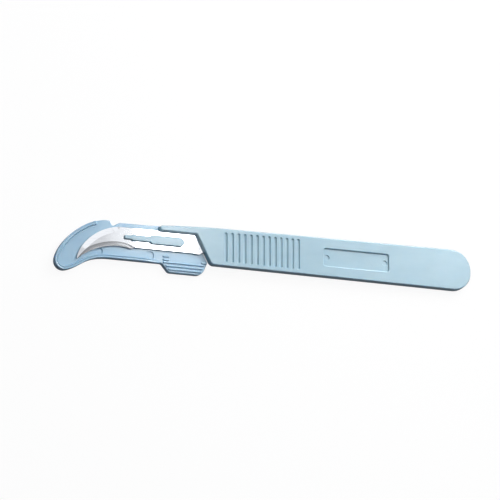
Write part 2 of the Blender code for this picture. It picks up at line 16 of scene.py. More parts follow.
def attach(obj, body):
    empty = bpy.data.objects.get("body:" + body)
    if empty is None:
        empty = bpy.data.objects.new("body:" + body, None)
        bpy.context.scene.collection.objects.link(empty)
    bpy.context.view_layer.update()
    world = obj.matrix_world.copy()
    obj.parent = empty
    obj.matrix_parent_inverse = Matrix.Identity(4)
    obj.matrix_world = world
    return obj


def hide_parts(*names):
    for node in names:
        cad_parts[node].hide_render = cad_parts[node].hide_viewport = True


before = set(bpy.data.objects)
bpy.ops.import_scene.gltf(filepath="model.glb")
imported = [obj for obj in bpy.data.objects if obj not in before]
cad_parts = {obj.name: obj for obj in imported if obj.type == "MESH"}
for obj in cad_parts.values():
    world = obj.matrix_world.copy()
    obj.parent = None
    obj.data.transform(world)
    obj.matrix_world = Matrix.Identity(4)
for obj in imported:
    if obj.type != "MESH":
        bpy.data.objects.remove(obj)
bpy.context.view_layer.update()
MM = 0.001

# %% [markdown]
# The camera comes first, so that every later look is judged from the same place. It looks
# from far off through a very long lens, so there is next to no perspective. A camera
# could also be turned by eye, but here its three directions are known, and a matrix made
# of them gives the turn exactly, roll included.

# %% Camera
TO_CAMERA = Vector((-0.3326, -0.2660, 0.9048))
IMAGE_RIGHT = Vector((0.9386, 0.0, 0.3450))
IMAGE_UP = Vector((-0.0918, 0.9640, 0.2497))
CAMERA_DISTANCE = 6.0
FRAME_WIDTH = 166.67 * MM
SENSOR_WIDTH = 36.0
LOOK_AT = IMAGE_RIGHT * (-29.37 * MM) + IMAGE_UP * (3.39 * MM)

bpy.ops.object.camera_add(location=LOOK_AT + TO_CAMERA * CAMERA_DISTANCE)
camera = bpy.context.object
camera.name = "camera"
camera.rotation_euler = Matrix((IMAGE_RIGHT, IMAGE_UP, TO_CAMERA)).transposed().to_euler()
camera.data.sensor_width = SENSOR_WIDTH
camera.data.lens = SENSOR_WIDTH * CAMERA_DISTANCE / FRAME_WIDTH
camera.data.clip_end = 50.0
bpy.context.scene.camera = camera
print("lens in mm:", round(camera.data.lens))

# %% [markdown]
# The whole scalpel is flat work: outlines with thickness. An outline is a list of points,
# counter-clockwise. Most corners are rounds, so a corner is written with its radius, and
# one helper turns it into points on an arc that touches both sides. A second helper moves
# a whole outline outwards, which makes room round a piece or a rounded rim on it.

# %% Outlines with rounded corners


def rotated(vector, angle):
    cos, sin = math.cos(angle), math.sin(angle)
    return Vector((vector.x * cos - vector.y * sin, vector.x * sin + vector.y * cos))


def fillet(before, corner, after, radius, steps):
    """Points of the round that replaces one corner."""
    back = (before - corner).normalized()
    ahead = (after - corner).normalized()
    half = back.angle(ahead) / 2
    centre = corner + (back + ahead).normalized() * radius / math.sin(half)
    start = corner + back * radius / math.tan(half) - centre
    end = corner + ahead * radius / math.tan(half) - centre
    sweep = start.angle_signed(end)
    return [centre + rotated(start, -sweep * step / steps) for step in range(steps + 1)]


def rounded(corners, steps=12):
    """Outline from (x, y, radius) corners."""
    spots = [Vector(corner[:2]) for corner in corners]
    points = []
    for index, (_, _, radius) in enumerate(corners):
        before, after = spots[index - 1], spots[(index + 1) % len(spots)]
        if radius > 0:
            points += fillet(before, spots[index], after, radius, steps)
        else:
            points.append(spots[index])
    return points


square = [(0.0, 0.0), (9.0 * MM, 0.0), (9.0 * MM, 9.0 * MM), (0.0, 9.0 * MM)]
print("points of a rounded square:", len(rounded([(x, y, MM) for x, y in square])))

# %% Outlines moved outwards
SAME_SPOT = 0.01 * MM


def edge_normal(start, end):
    """Unit vector to the right of the way from start to end."""
    along = (end - start).normalized()
    return Vector((along.y, -along.x))


def offset_point(before, point, after, distance):
    """Corner of an outline whose two sides both move to the right by a distance."""
    first, second = edge_normal(before, point), edge_normal(point, after)
    return point + (first + second) * distance / (1 + first.dot(second))


def distinct(points):
    """The same outline without points that fall together."""
    return [p for i, p in enumerate(points) if (p - points[i - 1]).length > SAME_SPOT]


def offset_outline(points, distance):
    """Closed outline moved outwards by a distance."""
    points = distinct(points)
    count = len(points)
    return [offset_point(points[i - 1], points[i], points[(i + 1) % count], distance)
            for i in range(count)]


wider = offset_outline([Vector(corner) for corner in square], MM)
print("first corner of the wider square in mm:", [round(v / MM, 2) for v in wider[0]])

# %% [markdown]
# A solid is grown from an outline. By hand one adds a filled circle, drags its corners
# onto the outline, extrudes it, moves the new ring into place and extrudes again. The
# helper does just that. Each corner carries its number round the ring, and the
# extrusion copies that number, so every new corner knows where it belongs. A Bevel
# modifier could round the rims too, but rings let each rim have its own round.

# %% Solids that grow from ring to ring


def fresh():
    """Back to object mode with nothing selected."""
    if bpy.context.object and bpy.context.object.mode != "OBJECT":
        bpy.ops.object.mode_set(mode="OBJECT")
    bpy.ops.object.select_all(action="DESELECT")


def activate(item):
    fresh()
    bpy.context.view_layer.objects.active = item
    item.select_set(True)


def grow(name, rings):
    """Closed solid through rings that all have the same number of points."""
    fresh()
    bpy.ops.mesh.primitive_circle_add(vertices=len(rings[0]), radius=MM, fill_type="NGON")
    item = bpy.context.object
    item.name = name
    seat = item.data.attributes.new("seat", "INT", "POINT")
    for index, spot in enumerate(rings[0]):
        item.data.vertices[index].co = spot
        seat.data[index].value = index
    bpy.ops.object.mode_set(mode="EDIT")
    bpy.ops.mesh.select_all(action="SELECT")
    for ring in rings[1:]:
        bpy.ops.mesh.extrude_region_move()
        shape = bmesh.from_edit_mesh(item.data)
        seat = shape.verts.layers.int["seat"]
        for vertex in shape.verts:
            if vertex.select:
                vertex.co = ring[vertex[seat]]
        bmesh.update_edit_mesh(item.data)
    bpy.ops.mesh.select_all(action="SELECT")
    bpy.ops.mesh.normals_make_consistent(inside=False)
    fresh()
    return item


def slab(name, outline, levels):
    """Flat solid whose wall goes through (height, outset) levels."""
    rings = [[(p.x, p.y, height) for p in offset_outline(outline, outset)]
             for height, outset in levels]
    return grow(name, rings)


# %% [markdown]
# Two kinds of wall are enough. A standing form has rounded rims at its foot and top. A
# recess is cut by a form that is rounded at its floor and spreads like a trumpet where it
# meets the face, which leaves a soft rim, as a mould does.

# %% Walls and Booleans
RIM_TURN = 80.0
RIM_RISE, RIM_RUN = 0.15, 0.85


def quarter(steps, degrees=90.0):
    return [math.radians(degrees) * step / steps for step in range(steps + 1)]


def standing(low, high, low_round=0.0, high_round=0.0, steps=6):
    """Levels up a wall whose rims are rounded."""
    foot = [(low + low_round * (1 - math.cos(a)), -low_round * (1 - math.sin(a)))
            for a in quarter(steps)] if low_round else [(low, 0.0)]
    top = [(high - high_round * (1 - math.sin(a)), -high_round * (1 - math.cos(a)))
           for a in quarter(steps)] if high_round else [(high, 0.0)]
    return foot + top


def recess(floor, face, floor_round, rim_round, steps=6):
    """Levels up a cutter that leaves a soft rim: an arc, a short slope and a way out."""
    levels = standing(floor, face - rim_round, low_round=floor_round, steps=steps)
    levels += [(face - rim_round * (1 - math.sin(a)), rim_round * (1 - math.cos(a)))
               for a in quarter(steps, RIM_TURN)[1:]]
    height, outset = levels[-1]
    outset += RIM_RUN * rim_round
    return levels + [(height + RIM_RISE * rim_round, outset), (face + MM, outset)]


def combine(item, other, operation):
    """Cuts other from item, or joins it, and removes other."""
    activate(item)
    bpy.ops.object.modifier_add(type="BOOLEAN")
    step = item.modifiers[-1]
    step.operation = operation
    step.solver = "EXACT"
    step.object = other
    bpy.ops.object.modifier_apply(modifier=step.name)
    bpy.data.objects.remove(other)


print("levels up a plain wall:", len(standing(0.0, MM)))

# %% [markdown]
# The handle is one moulding. Its outline is a long grip that widens towards a round butt,
# a slanted shoulder where the blade ends, and a thin finger that runs forward along the
# blade's back and droops a little at its tip.

# %% Outline of the handle
GRIP_LENGTH = 92.0 * MM
GRIP_FRONT_WIDTH = 12.7 * MM
GRIP_BACK_WIDTH = 13.8 * MM
HANDLE_THICK = 3.0 * MM
SHOULDER_X = -GRIP_LENGTH / 2
BUTT_X = GRIP_LENGTH / 2
SHOULDER_LEAN = math.radians(26.8)
FRONT_CORNER_ROUND = 2.0 * MM
BUTT_LOW_ROUND = 5.9 * MM
BUTT_HIGH_ROUND = 7.0 * MM
FINGER_LENGTH = 18.2 * MM
NOSE_X = SHOULDER_X - FINGER_LENGTH
NOSE_ROUND = 0.81 * MM
FINGER_ROOT_ROUND = 0.5 * MM
SPINE_DROOP = 0.88 * MM
DROOP_START_X = SHOULDER_X + 7.0 * MM
DROOP_STEPS = 16
BLADE_BACK = 3.88 * MM
FINGER_LOW = BLADE_BACK - 0.16 * MM
UNDER_RIM_ROUND = 0.45 * MM
FACE_RIM_ROUND = 0.35 * MM


def grip_half_width(x):
    share = (x - SHOULDER_X) / GRIP_LENGTH
    return (GRIP_FRONT_WIDTH + (GRIP_BACK_WIDTH - GRIP_FRONT_WIDTH) * share) / 2


def spine_y(x):
    """Upper edge of the handle, with the droop of the finger."""
    share = max(0.0, (DROOP_START_X - x) / (DROOP_START_X - NOSE_X))
    return grip_half_width(x) - SPINE_DROOP * share ** 2


def shoulder_x(y, setback=0.0):
    """Slanted front of the grip, or a line in front of it."""
    lean = (y + GRIP_FRONT_WIDTH / 2) * math.tan(SHOULDER_LEAN)
    return SHOULDER_X - lean - setback / math.cos(SHOULDER_LEAN)


def handle_outline():
    spine = [DROOP_START_X + (NOSE_X - DROOP_START_X) * step / DROOP_STEPS
             for step in range(DROOP_STEPS)]
    corners = [(SHOULDER_X, -GRIP_FRONT_WIDTH / 2, FRONT_CORNER_ROUND),
               (BUTT_X, -GRIP_BACK_WIDTH / 2, BUTT_LOW_ROUND),
               (BUTT_X, GRIP_BACK_WIDTH / 2, BUTT_HIGH_ROUND)]
    corners += [(x, spine_y(x), 0.0) for x in spine]
    corners += [(NOSE_X, spine_y(NOSE_X), NOSE_ROUND), (NOSE_X, FINGER_LOW, NOSE_ROUND),
                (shoulder_x(FINGER_LOW), FINGER_LOW, FINGER_ROOT_ROUND)]
    return rounded(corners, steps=20)


handle = slab("handle_moulding", handle_outline(),
              standing(0.0, HANDLE_THICK, UNDER_RIM_ROUND, FACE_RIM_ROUND, steps=7))
print("points round the handle:", len(handle_outline()))

# %% [markdown]
# Under the blade the handle goes on as a thin tang, and a stepped boss on it fills the
# blade's slot: that is the standard fitting that holds the blade. The rear end of the
# blade is tucked into a shallow pocket in the shoulder. The plan of the blade's shank is
# needed for that pocket, so it is written here and used again for the blade.

# %% Levels and the plan of the blade's shank
BLADE_THICK = 0.4 * MM
BLADE_SINK = 1.45 * MM
TANG_GAP = 0.3 * MM
BOSS_PROUD = 0.85 * MM
BLADE_TOP_Z = HANDLE_THICK - BLADE_SINK
BLADE_LOW_Z = BLADE_TOP_Z - BLADE_THICK
TANG_TOP_Z = BLADE_LOW_Z - TANG_GAP
BOSS_TOP_Z = BLADE_TOP_Z + BOSS_PROUD
SHANK_WIDTH = 6.63 * MM
SHANK_LOW = BLADE_BACK - SHANK_WIDTH
HOOK_X = SHOULDER_X - 31.8 * MM
BLADE_TUCK = 0.4 * MM
HEEL_X = SHOULDER_X - 4.6 * MM
HEEL_SLOPE = 1.6 * MM
HEEL_FLAT = 0.7 * MM
HEEL_DROP = 0.35 * MM
HEEL_RISE = 1.36 * MM


def heel_corners():
    """Lower rear corner of the blade: a small drop, then a cut that runs into the handle."""
    low_y = SHANK_LOW - HEEL_DROP
    end_y = low_y + HEEL_RISE
    return [Vector((HEEL_X - HEEL_SLOPE, SHANK_LOW)), Vector((HEEL_X, low_y)),
            Vector((HEEL_X + HEEL_FLAT, low_y)),
            Vector((shoulder_x(end_y, -BLADE_TUCK), end_y))]


def shank_outline():
    rear_top = Vector((shoulder_x(BLADE_BACK, -BLADE_TUCK), BLADE_BACK))
    front_low, front_top = Vector((HOOK_X, SHANK_LOW)), Vector((HOOK_X, BLADE_BACK))
    return [front_low, *heel_corners(), rear_top, front_top]


print("blade top, blade underside and tang top in mm:",
      [round(z / MM, 2) for z in (BLADE_TOP_Z, BLADE_LOW_Z, TANG_TOP_Z)])

# %% Plans of the slot and the tang
SLOT_Y = BLADE_BACK - 3.44 * MM
SLOT_FRONT_X = SHOULDER_X - 30.45 * MM
SLOT_STEP_X = (SHOULDER_X - 28.0 * MM, SHOULDER_X - 21.4 * MM)
SLOT_REAR_X = SHOULDER_X - 9.5 * MM
SLOT_HALVES = (0.57 * MM, 0.95 * MM, 1.5 * MM)
SLOT_FRONT_ROUND = 0.25 * MM
SLOT_REAR_CUT = 1.0 * MM
SLOT_REAR_ROUND = 1.6 * MM
TANG_AHEAD = 1.2 * MM
TANG_INSET = 0.4 * MM
TANG_TIP_ROUND = 1.5 * MM
TANG_ROOT = 1.0 * MM


def slot_outline():
    """Stepped slot of the standard blade fitting, which is also the plan of the boss."""
    step_one, step_two = SLOT_STEP_X
    narrow, middle, wide = SLOT_HALVES
    lower = [(SLOT_FRONT_X, -narrow, SLOT_FRONT_ROUND), (step_one, -narrow, 0.0),
             (step_one + middle - narrow, -middle, 0.0), (step_two, -middle, 0.0),
             (step_two + wide - middle, -wide, 0.0)]
    upper = [(x, -y, radius) for x, y, radius in reversed(lower)]
    rear = [(SLOT_REAR_X - SLOT_REAR_CUT, -wide, 0.0),
            (SLOT_REAR_X, SLOT_REAR_CUT - wide, 0.0), (SLOT_REAR_X, wide, SLOT_REAR_ROUND)]
    return rounded([(x, y + SLOT_Y, radius) for x, y, radius in lower + rear + upper])


def tang_outline():
    """Plan of the tang, with its roots inside the grip and under the finger."""
    tip_x, inside_x = SLOT_FRONT_X - TANG_AHEAD, SHOULDER_X + TANG_ROOT
    low, high = SHANK_LOW + TANG_INSET, BLADE_BACK - TANG_INSET
    under_x, under_y = NOSE_X + NOSE_ROUND + 0.5 * MM, FINGER_LOW + NOSE_ROUND
    return rounded([(tip_x, low, TANG_TIP_ROUND), (inside_x, low, 0.0),
                    (inside_x, under_y, 0.0), (under_x, under_y, 0.0),
                    (under_x, high, 0.0), (tip_x, high, TANG_TIP_ROUND)])


print("length of the slot in mm:", round((SLOT_REAR_X - SLOT_FRONT_X) / MM, 2))

# %% Pocket, tang and boss
POCKET_GAP = 0.2 * MM
FORM_ROOT = 0.3 * MM
BOSS_RIM_ROUND = 0.16 * MM

pocket = slab("pocket", offset_outline(shank_outline(), POCKET_GAP),
              standing(TANG_TOP_Z, BLADE_TOP_Z + POCKET_GAP))
combine(handle, pocket, "DIFFERENCE")
combine(handle, slab("tang", tang_outline(), standing(0.0, TANG_TOP_Z)), "UNION")
boss = slab("boss", slot_outline(),
            standing(TANG_TOP_Z - FORM_ROOT, BOSS_TOP_Z, high_round=BOSS_RIM_ROUND, steps=4))
combine(handle, boss, "UNION")
print("faces of the handle so far:", len(handle.data.polygons))

# %% [markdown]
# Both faces of the grip carry a row of short grooves for the fingers. Each is a trough
# with round ends and a soft rim, and the spacing shrinks a little towards the butt. The
# cutters of both faces are joined into one object, so that one Boolean cuts them all.

# %% Grip grooves
GROOVE_COUNT = 13
GROOVE_START = 5.0 * MM
GROOVE_PITCH = 2.25 * MM
PITCH_LOSS = 0.021 * MM
GROOVE_WIDTH = 1.0 * MM
GROOVE_DEPTH = 0.5 * MM
GROOVE_END_ROOM = 1.3 * MM
GROOVE_FLOOR_ROUND = 0.36 * MM
GROOVE_RIM_ROUND = 0.12 * MM


def stadium(start, end, width, steps=14):
    """Outline of a straight strip with round ends."""
    side = edge_normal(start, end) * width / 2
    turns = [math.pi * step / steps for step in range(steps + 1)]
    return ([end + rotated(side, turn) for turn in turns]
            + [start + rotated(side, turn + math.pi) for turn in turns])


def groove_cutters(index):
    """Cutters for one groove in the face and its twin in the back."""
    x = (SHOULDER_X + GROOVE_START + index * GROOVE_PITCH
         - PITCH_LOSS * index * (index - 1) / 2)
    end = grip_half_width(x) - GROOVE_END_ROOM - GROOVE_WIDTH / 2
    outline = stadium(Vector((x, -end)), Vector((x, end)), GROOVE_WIDTH)
    face = recess(HANDLE_THICK - GROOVE_DEPTH, HANDLE_THICK, GROOVE_FLOOR_ROUND,
                  GROOVE_RIM_ROUND)
    back = [(HANDLE_THICK - height, outset) for height, outset in reversed(face)]
    return [slab("groove", outline, face), slab("back_groove", outline, back)]


def joined(items):
    """Several separate solids as one object."""
    activate(items[0])
    for item in items:
        item.select_set(True)
    bpy.ops.object.join()
    return bpy.context.object


grooves = joined([cutter for i in range(GROOVE_COUNT) for cutter in groove_cutters(i)])
combine(handle, grooves, "DIFFERENCE")
print("faces with the grooves:", len(handle.data.polygons))

# %% [markdown]
# Further back lies a shallow bare panel with rounded corners, and two round dimples in
# its floor, where the mould's pins push the part out. The dimples come after the panel,
# because their rims lie in its floor.

# %% Panel and its two dimples
PANEL_LEFT = SHOULDER_X + 39.7 * MM
PANEL_RIGHT = PANEL_LEFT + 23.1 * MM
PANEL_HALF = 3.0 * MM
PANEL_FLOOR = HANDLE_THICK - 0.65 * MM
PANEL_CORNER_ROUND = 0.8 * MM
PANEL_FLOOR_ROUND = 0.15 * MM
PANEL_RIM_ROUND = 0.32 * MM
PIN_INSET = 1.3 * MM
PIN_RADIUS = 0.85 * MM
PIN_DEPTH = 0.3 * MM


def disc(centre, radius, steps=64):
    arm = Vector((radius, 0.0))
    return [centre + rotated(arm, math.tau * step / steps) for step in range(steps)]


def pin_dimple(item, outline, face, depth, floor_round, rim_round):
    """Cuts the round dimple that a mould's pin leaves in a face."""
    levels = recess(face - depth, face, floor_round, rim_round, steps=3)
    combine(item, slab("dimple", outline, levels), "DIFFERENCE")


panel_corners = [(PANEL_LEFT, -PANEL_HALF), (PANEL_RIGHT, -PANEL_HALF),
                 (PANEL_RIGHT, PANEL_HALF), (PANEL_LEFT, PANEL_HALF)]
panel = slab("panel", rounded([(x, y, PANEL_CORNER_ROUND) for x, y in panel_corners]),
             recess(PANEL_FLOOR, HANDLE_THICK, PANEL_FLOOR_ROUND, PANEL_RIM_ROUND))
combine(handle, panel, "DIFFERENCE")
for x in (PANEL_LEFT + PIN_INSET, PANEL_RIGHT - PIN_INSET):
    pin_dimple(handle, disc(Vector((x, 0.0)), PIN_RADIUS), PANEL_FLOOR, PIN_DEPTH,
               floor_round=0.06 * MM, rim_round=0.05 * MM)
print("faces of the finished handle:", len(handle.data.polygons))

# %% [markdown]
# The blade is one strip of steel, 0.4 mm thick. It is grown from sections between its
# back and its edge: first round the hook, then straight back to the heel. Each section
# of the hook has a facet ground along the back, the flat face, and a bevel that is
# hollow, because a round grinding wheel makes it, and runs out in the edge.

# %% One section of the blade
FACET_WIDTH = 1.9 * MM
BEVEL_WIDTH = 1.65 * MM
BEVEL_ROWS = 8
BEVEL_HOLLOW = 1.7
LAND = 0.15 * MM
BACK_HALF = 0.1 * MM
EDGE_HALF = 0.012 * MM
MIDDLE_Z = BLADE_TOP_Z - BLADE_THICK / 2


def section(back, edge, facet, bevel, back_half, edge_half):
    """Ring round the blade between its back and its edge."""
    across = edge - back
    room = across.length
    squeeze = min(1.0, (room - LAND) / (facet + bevel)) if facet + bevel > 0 else 1.0
    facet_spot = back + across.normalized() * max(facet * squeeze, min(LAND, room) / 2)
    bevel_spot = edge - across.normalized() * max(bevel * squeeze, min(LAND, room) / 2)
    half = BLADE_THICK / 2
    ring = [(back, back_half), (facet_spot, half)]
    for row in range(BEVEL_ROWS + 1):
        share = row / BEVEL_ROWS
        height = edge_half + (half - edge_half) * (1 - share) ** BEVEL_HOLLOW
        ring.append((bevel_spot.lerp(edge, share), height))
    upper = [(spot.x, spot.y, MIDDLE_Z + height) for spot, height in ring]
    lower = [(spot.x, spot.y, MIDDLE_Z - height) for spot, height in reversed(ring)]
    return upper + lower


# %% The blade, grown round its hook and back to its heel
HOOK_REACH = 15.3 * MM
HOOK_DROP = 12.44 * MM
HOOK_FULLNESS = 1.7
HOOK_STATIONS = 88
FADE_START = 0.86
TIP_SHARE = 0.03
TIP = Vector((HOOK_X - HOOK_REACH, BLADE_BACK - HOOK_DROP))
EDGE_HEEL = Vector((SHOULDER_X - 28.1 * MM, SHANK_LOW - 0.57 * MM))
BEVEL_END = Vector((SHOULDER_X - 26.6 * MM, SHANK_LOW))


def quarter_bow(start, end, fullness, steps):
    """Quarter of a super-ellipse that leaves start along -X and reaches end along -Y."""
    points = []
    for step in range(steps + 1):
        angle = math.pi / 2 * step / steps
        reach = math.sin(angle) ** (2 / fullness)
        drop = 1 - math.cos(angle) ** (2 / fullness) if step < steps else 1.0
        points.append(Vector((start[0] + (end[0] - start[0]) * reach,
                              start[1] + (end[1] - start[1]) * drop)))
    return points


def bezier(knots, count):
    return [p.to_2d() for p in interpolate_bezier(*[k.to_3d() for k in knots], count)]


def hook_step(reach, drop):
    """Way in shares of the hook's reach and drop."""
    return Vector((HOOK_REACH * reach, HOOK_DROP * drop))


def hook_sections(plain_half):
    """Sections from the tip to the end of the edge, where the facet has faded out."""
    backs = quarter_bow((HOOK_X, BLADE_BACK), TIP, HOOK_FULLNESS, HOOK_STATIONS)
    backs.reverse()
    edges = bezier([TIP, TIP + hook_step(0.273, 0.318), EDGE_HEEL + hook_step(-0.442, 0.166),
                    EDGE_HEEL], HOOK_STATIONS + 1)
    sections = []
    for index in range(1, HOOK_STATIONS + 1):
        fade = max(0.0, (index / HOOK_STATIONS - FADE_START) / (1 - FADE_START))
        back_half = BACK_HALF + (plain_half - BACK_HALF) * fade
        sections.append(section(backs[index], edges[index], FACET_WIDTH * (1 - fade),
                                BEVEL_WIDTH, back_half, EDGE_HALF))
    point = Vector((TIP.x, TIP.y, MIDDLE_Z))
    return [[point.lerp(Vector(spot), TIP_SHARE) for spot in sections[0]], *sections]


def blade_sections():
    """Sections from the tip to the rear end of the blade."""
    plain_half = (BLADE_THICK - LAND) / 2
    pairs = [(Vector((BEVEL_END.x, BLADE_BACK)), BEVEL_END)]
    rear_top = shoulder_x(BLADE_BACK, -BLADE_TUCK)
    for spot in heel_corners():
        back_x = min(spot.x - (BLADE_BACK - spot.y) * math.tan(SHOULDER_LEAN), rear_top)
        pairs.append((Vector((back_x, BLADE_BACK)), spot))
    return hook_sections(plain_half) + [section(back, edge, 0.0, 0.0, plain_half, plain_half)
                                        for back, edge in pairs]


blade = grow("hook_blade", blade_sections())
print("sections of the blade:", len(blade_sections()))

# %% [markdown]
# The lines where the ground faces meet the flat are crisp on real steel, although the
# angle is only a few degrees. Smooth shading would wash them out, so these rows of edges
# are marked sharp. The ground bevel also gets a finish of its own, so its faces take the
# second material slot. Both are picked by their row, the number that grow() left on
# every corner. Then the slot is cut.

# %% Ground lines, bevel faces and slot
BACK_ROW, FACET_ROW, BEVEL_ROW, EDGE_ROW = 0, 1, 2, BEVEL_ROWS + 2
SLOT_GAP = 0.15 * MM


def row_of(vertex, seat):
    """Row of a corner, counted from the back to the edge on either face."""
    return min(vertex[seat], 2 * EDGE_ROW + 1 - vertex[seat])


def mark_ground_lines(item):
    """Marks the edges that run along the rows where two ground faces meet."""
    bpy.ops.mesh.select_all(action="DESELECT")
    shape = bmesh.from_edit_mesh(item.data)
    seat = shape.verts.layers.int["seat"]
    for edge in shape.edges:
        start, end = edge.verts
        edge.select_set(start[seat] == end[seat] and row_of(start, seat)
                        in (BACK_ROW, FACET_ROW, BEVEL_ROW, EDGE_ROW))
    bmesh.update_edit_mesh(item.data)
    bpy.ops.mesh.mark_sharp()


def mark_bevel_faces(item):
    """Gives the faces of the bevel the second material slot."""
    shape = bmesh.from_edit_mesh(item.data)
    seat = shape.verts.layers.int["seat"]
    bevel = [face for face in shape.faces if len(face.verts) == 4
             and all(row_of(vertex, seat) >= BEVEL_ROW for vertex in face.verts)]
    for face in bevel:
        face.material_index = 1
    bmesh.update_edit_mesh(item.data)
    print("bevel faces:", len(bevel))


blade.data.materials.append(None)
blade.data.materials.append(None)
activate(blade)
bpy.ops.object.mode_set(mode="EDIT")
bpy.ops.mesh.select_mode(type="EDGE")
mark_ground_lines(blade)
mark_bevel_faces(blade)
fresh()
slot = slab("slot", offset_outline(slot_outline(), SLOT_GAP),
            standing(BLADE_LOW_Z - MM, BLADE_TOP_Z + MM))
combine(blade, slot, "DIFFERENCE")

# %% [markdown]
# The guard is a second moulding: a tray under the blade that follows the hook, with a
# strip along each side of the shank and a ribbed tab by which it is pushed off. Its
# outline goes from the notch behind the blade's back, round the tip, along the lower
# strip to the tab, and back along the shoulder and the finger. The tray's edge is put
# together from three bows, so its points are evened and smoothed. Rooms for the handle
# and its tang are cut out of the guard, and two round dimples, where the mould's pins
# push.

# %% Outer edge of the guard's tray
STRIP_LOW_Y = -GRIP_FRONT_WIDTH / 2 - 0.68 * MM
TRAY_TOP = BLADE_BACK + 2.09 * MM
NOTCH_X = HOOK_X - 0.1 * MM
NOTCH_WIDTH = 3.5 * MM
BOW_START_X = NOTCH_X - NOTCH_WIDTH - 1.4 * MM
BOW_FULLNESS = 1.6
BOW_STEPS = 60
TRAY_AHEAD = 7.65 * MM
TRAY_BELOW = 0.855 * MM
END_RADIUS = 3.13 * MM
END_TURN = math.radians(106)
END_STEPS = 30
LOWER_BOW_END_X = HOOK_X - 3.4 * MM
LOWER_BOW_PULLS = (0.4, 0.41)
LOWER_BOW_COUNT = 40
RUN_SPACING = 0.35 * MM
RUN_PASSES = 6


def evened(points, spacing):
    """Open path with its points at even steps."""
    marks = [0.0]
    for before, point in zip(points, points[1:]):
        marks.append(marks[-1] + (point - before).length)
    count, index, even = round(marks[-1] / spacing), 0, []
    for step in range(count + 1):
        mark = marks[-1] * step / count
        while index < len(marks) - 2 and marks[index + 1] < mark:
            index += 1
        share = (mark - marks[index]) / (marks[index + 1] - marks[index])
        even.append(points[index].lerp(points[index + 1], share))
    return even


def smoothed(points, passes):
    """Open path whose small kinks are evened out, with its ends kept."""
    for _ in range(passes):
        middle = [(a + b * 2 + c) / 4 for a, b, c in zip(points, points[1:], points[2:])]
        points = [points[0], *middle, points[-1]]
    return points


def tray_run():
    """Outer edge of the tray from the notch, round the tip, to the straight lower strip."""
    centre = TIP + Vector((END_RADIUS - TRAY_AHEAD, -TRAY_BELOW))
    points = quarter_bow((BOW_START_X, TRAY_TOP), (centre.x - END_RADIUS, centre.y),
                         BOW_FULLNESS, BOW_STEPS)
    arm = Vector((-END_RADIUS, 0.0))
    points += [centre + rotated(arm, END_TURN * step / END_STEPS)
               for step in range(1, END_STEPS + 1)]
    start, end = points[-1], Vector((LOWER_BOW_END_X, STRIP_LOW_Y))
    reach = end.x - start.x
    along = rotated(Vector((1.0, 0.0)), END_TURN - math.pi / 2)
    pull_out, pull_in = LOWER_BOW_PULLS
    knots = [start, start + along * reach * pull_out,
             Vector((start.x + reach * pull_in, STRIP_LOW_Y)), end]
    points += bezier(knots, LOWER_BOW_COUNT)[1:]
    return smoothed(evened(points, RUN_SPACING), RUN_PASSES)


print("points along the tray:", len(tray_run()))

# %% Outline of the guard
TAB_X = SHOULDER_X - 16.95 * MM
TAB_LOW_Y = STRIP_LOW_Y - 2.92 * MM
TAB_SLOPE = 2.45 * MM
TAB_END = 2.75 * MM
TOUCH_Y = STRIP_LOW_Y + 1.63 * MM
BED_TOP = BLADE_BACK + 1.12 * MM
FRONT_TOP = BLADE_BACK + 1.58 * MM
NOTCH_FLOOR_X = NOTCH_X - NOTCH_WIDTH * 0.69
NOTCH_FLOOR_Y = BLADE_BACK + 0.2 * MM
SEAT_GAP = 0.3 * MM


def notch_corners():
    """Corners of the notch, with one more point on the line at each end."""
    return [(NOTCH_X + MM, FRONT_TOP, 0.0), (NOTCH_X, FRONT_TOP, 1.2 * MM),
            (NOTCH_FLOOR_X, NOTCH_FLOOR_Y, 0.6 * MM),
            (NOTCH_X - NOTCH_WIDTH, TRAY_TOP, 0.5 * MM),
            (NOTCH_X - NOTCH_WIDTH - MM, TRAY_TOP, 0.0)]


def tab_corners():
    """Corners of the tab and the shoulder, with one more point on the strip."""
    return [(TAB_X - 2.0 * MM, STRIP_LOW_Y, 0.0), (TAB_X, STRIP_LOW_Y, 1.0 * MM),
            (TAB_X + TAB_SLOPE, TAB_LOW_Y, 1.5 * MM),
            (SHOULDER_X - TAB_END, TAB_LOW_Y, 3.2 * MM),
            (shoulder_x(TOUCH_Y, SEAT_GAP), TOUCH_Y, 0.5 * MM),
            (shoulder_x(BED_TOP, SEAT_GAP), BED_TOP, 0.0)]


def guard_outline():
    strip = [Vector((NOSE_X + 0.8 * MM, BED_TOP)),
             Vector((NOSE_X + 0.7 * MM, BLADE_BACK + 1.74 * MM))]
    return rounded(notch_corners())[1:-1] + tray_run() + rounded(tab_corners())[1:] + strip


print("points round the guard:", len(guard_outline()))

# %% Guard with its rooms and dimples
GUARD_LOW_Z = TANG_TOP_Z - 1.9 * MM
GUARD_RIM_ROUND = 0.25 * MM
NOSE_GAP = 0.12 * MM
DIMPLE_DEPTH = 0.35 * MM
DIMPLES = ((39.0 * MM, 2.2 * MM, 1.17 * MM), (21.0 * MM, 1.95 * MM, 1.3 * MM))

guard = slab("guard_moulding", guard_outline(),
             standing(GUARD_LOW_Z, TANG_TOP_Z, GUARD_RIM_ROUND, GUARD_RIM_ROUND, steps=5))
for name, outline, gap in (("handle_room", handle_outline(), NOSE_GAP),
                           ("tang_room", tang_outline(), SEAT_GAP)):
    room = slab(name, offset_outline(outline, gap), standing(-SEAT_GAP, HANDLE_THICK + MM))
    combine(guard, room, "DIFFERENCE")
for ahead, below, radius in DIMPLES:
    pin_dimple(guard, disc(Vector((SHOULDER_X - ahead, SHANK_LOW - below)), radius),
               TANG_TOP_Z, DIMPLE_DEPTH, floor_round=0.08 * MM, rim_round=0.06 * MM)
print("faces of the guard so far:", len(guard.data.polygons))

